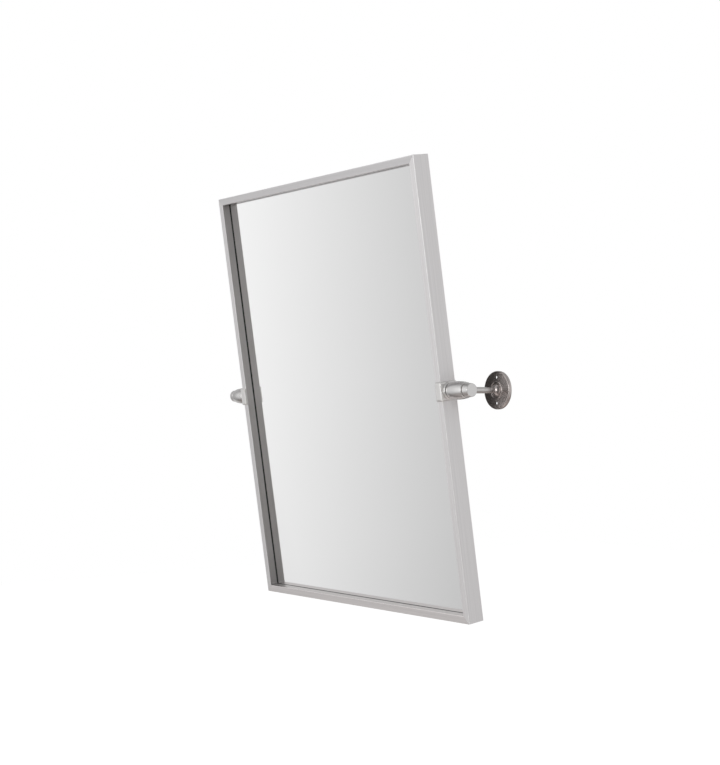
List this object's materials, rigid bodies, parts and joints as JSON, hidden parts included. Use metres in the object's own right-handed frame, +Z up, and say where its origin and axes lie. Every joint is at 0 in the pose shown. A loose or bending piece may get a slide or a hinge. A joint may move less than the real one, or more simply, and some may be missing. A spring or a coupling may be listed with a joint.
{
  "type": "pivot wall mirror",
  "caption": "Framed rectangular wall mirror that tilts on side pivots, each carried by a barrel on a rod from a round wall rosette.",
  "frame": {"origin": "midway between the two rosettes, level with the pivot axis, in the plane of the rosettes' faces, where the heads of the wall screws bear; the wall is 5.7 mm behind it", "axes": "+X to the right as one looks into the mirror, +Y into the wall, +Z up"},
  "size_m": [0.7522, 0.1403, 0.7588],
  "materials": {
    "rail_nickel": "satin nickel, brushed along the length",
    "hardware_nickel": "satin nickel",
    "rosette_nickel": "satin nickel",
    "pane": "silvered glass",
    "seal_black": "matte",
    "board": "pressed fibre board, black faced",
    "washer_black": "matte",
    "zinc_steel": "zinc plated"
  },
  "bodies": {
    "wall_brackets": {"left_barrel": "hardware_nickel", "left_bush": "washer_black", "left_rod": "hardware_nickel", "left_rosette": "rosette_nickel", "left_spring_washer": "zinc_steel", "left_rod_nut": "zinc_steel", "right_barrel": "hardware_nickel", "right_bush": "washer_black", "right_rod": "hardware_nickel", "right_rosette": "rosette_nickel", "right_spring_washer": "zinc_steel", "right_rod_nut": "zinc_steel"},
    "mirror": {"top_rail": "rail_nickel", "bottom_rail": "rail_nickel", "left_rail": "rail_nickel", "right_rail": "rail_nickel", "left_saddle": "hardware_nickel", "right_saddle": "hardware_nickel", "left_end_cap": "hardware_nickel", "right_end_cap": "hardware_nickel", "mirror_pane": "pane", "top_seal": "seal_black", "bottom_seal": "seal_black", "left_seal": "seal_black", "right_seal": "seal_black", "backing_board": "board", "left_inner_washer": "washer_black", "right_inner_washer": "washer_black", "left_outer_washer": "washer_black", "right_outer_washer": "washer_black", "lower_left_key": "zinc_steel", "lower_right_key": "zinc_steel", "upper_left_key": "zinc_steel", "upper_right_key": "zinc_steel", "board_clips": "zinc_steel", "clip_screws": "zinc_steel", "left_nut_plate": "zinc_steel", "right_nut_plate": "zinc_steel", "left_stud": "zinc_steel", "right_stud": "zinc_steel"}
  },
  "joints": [
    {"name": "mirror_tilt", "type": "hinge", "parent": "wall_brackets", "child": "mirror", "pos_m": [0, -0.06627, 0], "axis": [1, 0, 0], "range_deg": [-16, 0]}
  ]
}
